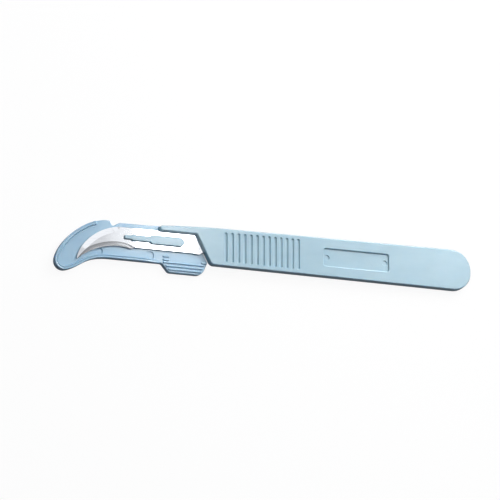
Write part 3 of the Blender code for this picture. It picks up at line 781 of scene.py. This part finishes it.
# %% [markdown]
# A lip stands on the edge of the tray. Its section is fixed: an upright outer wall, two
# round crests with a shallow hollow between them, and a steep inner wall. It is grown
# along the edge, from a square end by the notch, round the tip, until it sinks away in
# the lower strip. A curve with a bevel shape would do it too, but could not sink. The
# section is a list of points in mm: how far inwards from the edge, and how high.

# %% Lip of the tray
LIP_SECTION = [(-0.04, -0.35), (-0.04, 0.36), (-0.01, 0.47), (0.07, 0.56), (0.19, 0.60),
               (0.33, 0.57), (0.46, 0.49), (0.58, 0.47), (0.70, 0.53), (0.82, 0.62),
               (0.94, 0.65), (1.05, 0.60), (1.13, 0.47), (1.18, 0.30), (1.22, 0.12),
               (1.28, 0.03), (1.38, -0.03), (1.38, -0.35)]
LIP_START_X = NOTCH_X - NOTCH_WIDTH - 4.55 * MM
LIP_START_SHARES = (0.35, 0.65)
LIP_START_SIZE = 0.85
LIP_END_X = HOOK_X + 14.5 * MM
LIP_SINK = 6.0 * MM
STRIP_STEPS = 15


def offset_path(points, distance):
    """Open path moved to its left by a distance."""
    moved = [points[0] - edge_normal(points[0], points[1]) * distance]
    for before, point, after in zip(points, points[1:], points[2:]):
        moved.append(offset_point(before, point, after, -distance))
    moved.append(points[-1] - edge_normal(points[-2], points[-1]) * distance)
    return moved


def lip_run():
    """Edge that carries the lip. It starts between two points of the tray's own edge."""
    run = [spot for spot in tray_run() if spot.x < LIP_START_X or spot.y < 0.0]
    start = [run[0].lerp(run[1], share) for share in LIP_START_SHARES]
    strip = [Vector((HOOK_X + step * MM, STRIP_LOW_Y)) for step in range(STRIP_STEPS)]
    return start + run[1:] + strip


def lip_size(spot):
    """Share of the lip's height: full, until it sinks along the straight strip."""
    left = (LIP_END_X - spot.x) / LIP_SINK if spot.y < STRIP_LOW_Y + SAME_SPOT else 1.0
    size = max(0.0, min(1.0, left))
    return size * size * (3 - 2 * size)


def lip_rings():
    run = lip_run()
    paths = [offset_path(run, inward * MM) for inward, _ in LIP_SECTION]
    rings = []
    for index, spot in enumerate(run):
        size = lip_size(spot) * (LIP_START_SIZE if index == 0 else 1.0)
        rings.append([(path[index].x, path[index].y,
                       TANG_TOP_Z + (height * size if height > 0 else height) * MM)
                      for path, (_, height) in zip(paths, LIP_SECTION)])
    return rings


combine(guard, grow("lip", lip_rings()), "UNION")
print("sections along the lip:", len(lip_rings()))

# %% [markdown]
# The tab is ribbed so that a thumb can push the guard off: three long ribs, two short
# bars above them and a small pad by the shoulder. All are round-ended strips that stand
# out of the face. The ribs' ends lean with the slanted sides of the tab.

# %% Ribs, bars and pad of the guard
RIB_COUNT = 3
RIB_WIDTH = 0.55 * MM
RIB_PITCH = 1.15 * MM
RIB_HEIGHT = 0.45 * MM
RIB_RIM_ROUND = 0.2 * MM
RIB_MARGIN = 1.0 * MM
RIB_LEAN = 7 / 9
RIB_END_LEAN = 0.55 * RIB_LEAN
BAR_END = 2.3 * MM
PAD_LENGTH = 1.15 * MM
PAD_WIDTH = 0.75 * MM
PAD_Y = STRIP_LOW_Y + 1.28 * MM


def rib(x_start, x_end, y, width=RIB_WIDTH):
    return slab("rib", stadium(Vector((x_start, y)), Vector((x_end, y)), width),
                standing(TANG_TOP_Z - FORM_ROOT, TANG_TOP_Z + RIB_HEIGHT,
                         high_round=RIB_RIM_ROUND))


def row_y(row):
    return TAB_LOW_Y + RIB_MARGIN + row * RIB_PITCH


def long_rib(row):
    y = row_y(row)
    return rib(TAB_X + (STRIP_LOW_Y - y) * RIB_LEAN + RIB_MARGIN,
               SHOULDER_X - TAB_END - RIB_MARGIN + (y - TAB_LOW_Y) * RIB_END_LEAN, y)


def short_bar(row):
    return rib(TAB_X + RIB_WIDTH, TAB_X + BAR_END, row_y(row) - RIB_WIDTH / 2)


pad_end = shoulder_x(PAD_Y, SEAT_GAP + PAD_WIDTH)
ribs = [long_rib(row) for row in range(RIB_COUNT)]
ribs += [short_bar(row) for row in (RIB_COUNT, RIB_COUNT + 1)]
ribs.append(rib(pad_end - PAD_LENGTH, pad_end, PAD_Y, width=PAD_WIDTH))
print("ribs, bars and pads:", len(ribs))
combine(guard, joined(ribs), "UNION")

# %% [markdown]
# The three pieces are finished alike: stray doubles are merged, rounds are shaded smooth
# and corners sharp, and the flat faces keep flat normals by weight. Then each is seated
# on the frame.

# %% Seat the pieces
MERGE_WITHIN = 0.002 * MM
SHRUNK_BELOW = 0.001 * MM
SHARP_FROM = math.radians(32)


def open_edges(item):
    """How many edges of a piece don't lie between two faces."""
    shape = bmesh.new()
    shape.from_mesh(item.data)
    count = sum(len(edge.link_faces) != 2 for edge in shape.edges)
    shape.free()
    return count


def finish_piece(item, node):
    """Smooth shading, a seat on the frame, and the CAD node that the piece stands for."""
    activate(item)
    bpy.ops.object.mode_set(mode="EDIT")
    bpy.ops.mesh.select_all(action="SELECT")
    bpy.ops.mesh.remove_doubles(threshold=MERGE_WITHIN)
    bpy.ops.mesh.dissolve_degenerate(threshold=SHRUNK_BELOW)
    activate(item)
    bpy.ops.object.shade_smooth_by_angle(angle=SHARP_FROM)
    bpy.ops.object.modifier_add(type="WEIGHTED_NORMAL")
    weighted = item.modifiers[-1]
    weighted.keep_sharp = True
    bpy.ops.object.modifier_apply(modifier=weighted.name)
    if "seat" in item.data.attributes:
        item.data.attributes.remove(item.data.attributes["seat"])
    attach(item, "root")
    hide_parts(node)
    triangles = sum(len(face.vertices) - 2 for face in item.data.polygons)
    print(item.name, "stands for", node, "with", triangles, "triangles and",
          open_edges(item), "open edges")


finish_piece(handle, "handle")
finish_piece(blade, "blade")
finish_piece(guard, "blade_guard")

# %% [markdown]
# The plastic is light blue with a satin skin. Even a new moulding isn't one flat colour:
# the melt flows and leaves faint clouds, the gloss is mottled, the mould leaves its own
# grain, and handling leaves hair-fine scuffs. Four noise patterns on Object coordinates
# give that, each at its own scale in metres. A picture of plastic would need a UV map and
# would show its seams. The plastic also lets a little light in, about a millimetre deep,
# so its grooves and corners turn blue rather than grey.

# %% Colours and patterns
MOST_LOW, MOST_HIGH = 0.3, 0.7


def srgb(red, green, blue):
    """Colour as read off a screen, 0 to 255, as the linear values that Blender wants."""
    def linear(value):
        value /= 255
        return value / 12.92 if value <= 0.04045 else ((value + 0.055) / 1.055) ** 2.4
    return (linear(red), linear(green), linear(blue), 1.0)


def new_finish(name):
    """Material with its node tree and its shader."""
    finish = bpy.data.materials.new(name)
    finish.use_nodes = True
    return finish, finish.node_tree, finish.node_tree.nodes["Principled BSDF"]


def noise(tree, scale, detail, stretch=(1.0, 1.0, 1.0)):
    """Noise pattern on Object coordinates, whose values lie mostly between 0.3 and 0.7."""
    place = tree.nodes.new("ShaderNodeTexCoord")
    turn = tree.nodes.new("ShaderNodeMapping")
    turn.inputs["Scale"].default_value = stretch
    pattern = tree.nodes.new("ShaderNodeTexNoise")
    pattern.inputs["Scale"].default_value = scale
    pattern.inputs["Detail"].default_value = detail
    tree.links.new(place.outputs["Object"], turn.inputs["Vector"])
    tree.links.new(turn.outputs["Vector"], pattern.inputs["Vector"])
    return pattern.outputs["Fac"]


def ramp(tree, source, dark, pale, low=MOST_LOW, high=MOST_HIGH):
    """Two colours of a surface, blended by a pattern."""
    blend = tree.nodes.new("ShaderNodeValToRGB")
    blend.color_ramp.elements[0].position = low
    blend.color_ramp.elements[1].position = high
    blend.color_ramp.elements[0].color = dark
    blend.color_ramp.elements[1].color = pale
    tree.links.new(source, blend.inputs["Fac"])
    return blend.outputs["Color"]


def spread(tree, source, low, high):
    """Pattern value spread over the range from low to high."""
    reach = tree.nodes.new("ShaderNodeMapRange")
    reach.inputs["From Min"].default_value = MOST_LOW
    reach.inputs["From Max"].default_value = MOST_HIGH
    reach.inputs["To Min"].default_value = low
    reach.inputs["To Max"].default_value = high
    tree.links.new(source, reach.inputs["Value"])
    return reach.outputs["Result"]


def bump(tree, source, strength, depth, below=None):
    """Small dents by a pattern, on top of those below."""
    dent = tree.nodes.new("ShaderNodeBump")
    dent.inputs["Strength"].default_value = strength
    dent.inputs["Distance"].default_value = depth
    tree.links.new(source, dent.inputs["Height"])
    if below is not None:
        tree.links.new(below, dent.inputs["Normal"])
    return dent.outputs["Normal"]


def feed(tree, shader, colour, gloss, dents):
    """Links colour, roughness and dents to a shader."""
    tree.links.new(colour, shader.inputs["Base Color"])
    tree.links.new(gloss, shader.inputs["Roughness"])
    tree.links.new(dents, shader.inputs["Normal"])


print("linear value of middle grey:", round(srgb(128, 128, 128)[0], 3))

# %% Moulded plastic


def moulded_plastic(name, deep, pale):
    finish, tree, shader = new_finish(name)
    clouds = noise(tree, scale=90.0, detail=3.0, stretch=(1.0, 2.0, 2.0))
    mottle = noise(tree, scale=450.0, detail=4.0)
    grain = noise(tree, scale=3500.0, detail=3.0)
    scuffs = noise(tree, scale=900.0, detail=2.0, stretch=(0.25, 9.0, 4.0))
    grained = bump(tree, grain, strength=0.12, depth=0.03 * MM)
    scuffed = bump(tree, scuffs, strength=0.06, depth=0.03 * MM, below=grained)
    feed(tree, shader, ramp(tree, clouds, deep, pale), spread(tree, mottle, 0.21, 0.26),
         scuffed)
    shader.inputs["IOR"].default_value = 1.49
    shader.inputs["Specular IOR Level"].default_value = 1.0
    shader.inputs["Subsurface Weight"].default_value = 0.35
    shader.inputs["Subsurface Radius"].default_value = (0.5, 0.8, 1.0)
    shader.inputs["Subsurface Scale"].default_value = 1.2 * MM
    return finish


handle_plastic = moulded_plastic("handle_plastic", srgb(154, 187, 202), srgb(162, 194, 208))
guard_plastic = moulded_plastic("guard_plastic", srgb(150, 188, 213), srgb(158, 195, 218))
for piece, plastic in ((handle, handle_plastic), (guard, guard_plastic)):
    piece.data.materials.clear()
    piece.data.materials.append(plastic)
    print(piece.name, "is made of", plastic.name)

# %% [markdown]
# The strip steel is bright, with rolling lines along its length. The ground bevel is
# duller, and it is also painted a darker grey: painted shade, for the dim reflection
# that the bevel shows. Its scratches run across the edge, so round the hook they fan out
# from a point inside the curve. A radial gradient centred there gives each scratch its
# angle, and a fine noise along that angle gives the scratches.

# %% Rolled and ground steel
FAN_X = HOOK_X + 4.0 * MM
FAN_Y = SHANK_LOW - 22.0 * MM


def rolling_lines(tree):
    return noise(tree, scale=420.0, detail=4.0, stretch=(0.6, 30.0, 1.0))


def fanned_scratches(tree):
    """Noise along the angle round a point inside the hook's curve."""
    place = tree.nodes.new("ShaderNodeTexCoord")
    centre = tree.nodes.new("ShaderNodeMapping")
    centre.inputs["Location"].default_value = (-FAN_X, -FAN_Y, 0.0)
    fan = tree.nodes.new("ShaderNodeTexGradient")
    fan.gradient_type = "RADIAL"
    scratches = tree.nodes.new("ShaderNodeTexNoise")
    scratches.noise_dimensions = "1D"
    scratches.inputs["Scale"].default_value = 1500.0
    scratches.inputs["Detail"].default_value = 4.0
    tree.links.new(place.outputs["Object"], centre.inputs["Vector"])
    tree.links.new(centre.outputs["Vector"], fan.inputs["Vector"])
    tree.links.new(fan.outputs["Fac"], scratches.inputs["W"])
    return scratches.outputs["Fac"]


def steel(name, pattern, dark, pale, gloss, strength):
    """Steel whose colour, gloss and dents all follow one pattern."""
    finish, tree, shader = new_finish(name)
    shader.inputs["Metallic"].default_value = 1.0
    marks = pattern(tree)
    feed(tree, shader, ramp(tree, marks, dark, pale), spread(tree, marks, *gloss),
         bump(tree, marks, strength, depth=0.01 * MM))
    return finish


blade.data.materials[0] = steel("rolled_steel", rolling_lines, srgb(222, 225, 230),
                                srgb(236, 238, 241), gloss=(0.035, 0.05), strength=0.012)
# The bevel's darker grey is painted shade, for the dim reflection of the ground bevel; its
# duller gloss and scratches are its own.
blade.data.materials[1] = steel("ground_steel_painted_shade", fanned_scratches, srgb(146, 148, 151),
                                srgb(170, 172, 175), gloss=(0.16, 0.21), strength=0.10)
print("materials of the blade:", [m.name for m in blade.data.materials])

# %% [markdown]
# The scalpel rests on the rear edge of its guard and on the butt, so the table is tilted
# a little under it, by the angle between these two. The table is a wide disc that touches
# both. Seen directly it is white, and it still takes a soft shadow. The light that it
# throws back is a dull blue grey, which keeps the lower walls of the mouldings deep.
# Light Path tells the two apart, and mirrored rays get a share of the white.

# %% Table under the scalpel
TABLE_RADIUS = 1.6


def rear_foot(piece, level):
    """Rearmost spot of a piece's flat underside, on the middle plane."""
    flat = [v.co.x for v in piece.data.vertices if v.co.z < level + MERGE_WITHIN]
    return Vector((max(flat), 0.0, level))


rest_front = rear_foot(guard, GUARD_LOW_Z)
rest_back = rear_foot(handle, 0.0)
tilt = math.atan2(rest_back.z - rest_front.z, rest_back.x - rest_front.x)
fresh()
bpy.ops.mesh.primitive_circle_add(vertices=96, radius=TABLE_RADIUS, fill_type="NGON",
                                  location=(rest_front + rest_back) / 2,
                                  rotation=(0.0, -tilt, 0.0))
table = bpy.context.object
table.name = "table_top"
print("rests at x in mm:", round(rest_front.x / MM, 2), round(rest_back.x / MM, 2))
print("tilt of the table in degrees:", round(math.degrees(tilt), 2))

# %% Finish of the table
TABLE_GLOW = 0.93


def seen_directly(tree, mirrored):
    """1 for camera and glass rays, the share mirrored for glossy ones, 0 for the rest."""
    path = tree.nodes.new("ShaderNodeLightPath")
    mirror = tree.nodes.new("ShaderNodeMath")
    mirror.operation = "MULTIPLY"
    mirror.inputs[1].default_value = mirrored
    tree.links.new(path.outputs["Is Glossy Ray"], mirror.inputs[0])
    total = mirror.outputs["Value"]
    for kind in ("Is Camera Ray", "Is Transmission Ray"):
        either = tree.nodes.new("ShaderNodeMath")
        either.operation = "MAXIMUM"
        tree.links.new(total, either.inputs[0])
        tree.links.new(path.outputs[kind], either.inputs[1])
        total = either.outputs["Value"]
    return total


def blended(tree, share, first, second):
    """Mix of two shaders, with the share of the second one linked or set."""
    mix = tree.nodes.new("ShaderNodeMixShader")
    if isinstance(share, float):
        mix.inputs["Fac"].default_value = share
    else:
        tree.links.new(share, mix.inputs["Fac"])
    tree.links.new(first, mix.inputs[1])
    tree.links.new(second, mix.inputs[2])
    return mix.outputs["Shader"]


table_white, tree, shader = new_finish("table_white")
shader.inputs["Base Color"].default_value = (0.07, 0.10, 0.14, 1.0)
shader.inputs["Roughness"].default_value = 1.0
shader.inputs["Specular IOR Level"].default_value = 0.0
paper = tree.nodes.new("ShaderNodeBsdfDiffuse")
paper.inputs["Color"].default_value = (1.0, 1.0, 1.0, 1.0)
glow = tree.nodes.new("ShaderNodeEmission")
white = blended(tree, TABLE_GLOW, paper.outputs["BSDF"], glow.outputs["Emission"])
surface = blended(tree, seen_directly(tree, 0.2), shader.outputs["BSDF"], white)
tree.links.new(surface, tree.nodes["Material Output"].inputs["Surface"])
table.data.materials.append(table_white)
print("the table is made of", table_white.name)

# %% [markdown]
# Polished steel shows only what it mirrors, so the lamps are placed by that. The wide
# lamp high above and behind is what the flat of the blade mirrors, a narrow one beside
# it belongs to the facet along the back, and one further forward lightens the heel of
# the ground bevel, which is grey elsewhere. A small box close above whitens the shank
# and gives the plastic its highlight. The lamp on the right, behind, is the key: it
# gives the mouldings their light and shade, and the one at the back on the left draws
# the bright line along the guard's lip. The room is a soft gradient, bright above and
# behind and dark below and in front, which gives the lower walls their depth.

# %% Lamps


def soft_lamp(name, place, width, depth, watts, aim=None):
    """Area lamp that looks straight down, or at its aim."""
    bpy.ops.object.light_add(type="AREA", location=place)
    lamp = bpy.context.object
    lamp.name = name
    lamp.data.shape = "RECTANGLE"
    lamp.data.size = width
    lamp.data.size_y = depth
    lamp.data.energy = watts
    towards = Vector(aim or (place[0], place[1], 0.0)) - lamp.location
    lamp.rotation_euler = towards.to_track_quat("-Z", "Y").to_euler()
    print(name, "glows at", round(watts / (math.pi * width * depth), 2))


soft_lamp("overhead", (0.5005, 0.33, 0.90), 0.52, 0.37, 0.206)
soft_lamp("behind", (0.178, 0.345, 0.89), 0.09, 0.14, 0.0139)
soft_lamp("front", (0.14, 0.0, 0.90), 0.15, 0.14, 0.20)
soft_lamp("small_box", (-0.0136, 0.0459, 0.1357), 0.021, 0.036, 0.0149)
soft_lamp("side", (0.16, 0.21, 0.24), 0.20, 0.20, 1.12, aim=(-0.02, 0.0, 0.0))
soft_lamp("back", (-0.30, 0.60, 0.28), 0.30, 0.24, 0.68, aim=(-0.09, 0.0, 0.0))

# %% Room
BRIGHT_SIDE = (0.15, 0.60, 0.78)
ROOM_DARK = (0.03, 0.035, 0.045, 1.0)
ROOM_PALE = (0.55, 0.565, 0.59, 1.0)

world = bpy.data.worlds.new("studio")
bpy.context.scene.world = world
world.use_nodes = True
tree = world.node_tree
room = tree.nodes["Background"]
place = tree.nodes.new("ShaderNodeTexCoord")
towards = tree.nodes.new("ShaderNodeVectorMath")
towards.operation = "DOT_PRODUCT"
towards.inputs[1].default_value = BRIGHT_SIDE
tree.links.new(place.outputs["Generated"], towards.inputs[0])
shade = ramp(tree, towards.outputs["Value"], ROOM_DARK, ROOM_PALE, low=0.0, high=0.9)
tree.links.new(shade, room.inputs["Color"])
backdrop = tree.nodes.new("ShaderNodeBackground")
backdrop.inputs["Color"].default_value = (1.0, 1.0, 1.0, 1.0)
surface = blended(tree, seen_directly(tree, 0.5), room.outputs["Background"],
                  backdrop.outputs["Background"])
tree.links.new(surface, tree.nodes["World Output"].inputs["Surface"])
bpy.context.scene.view_settings.view_transform = "Standard"
print("world:", world.name)
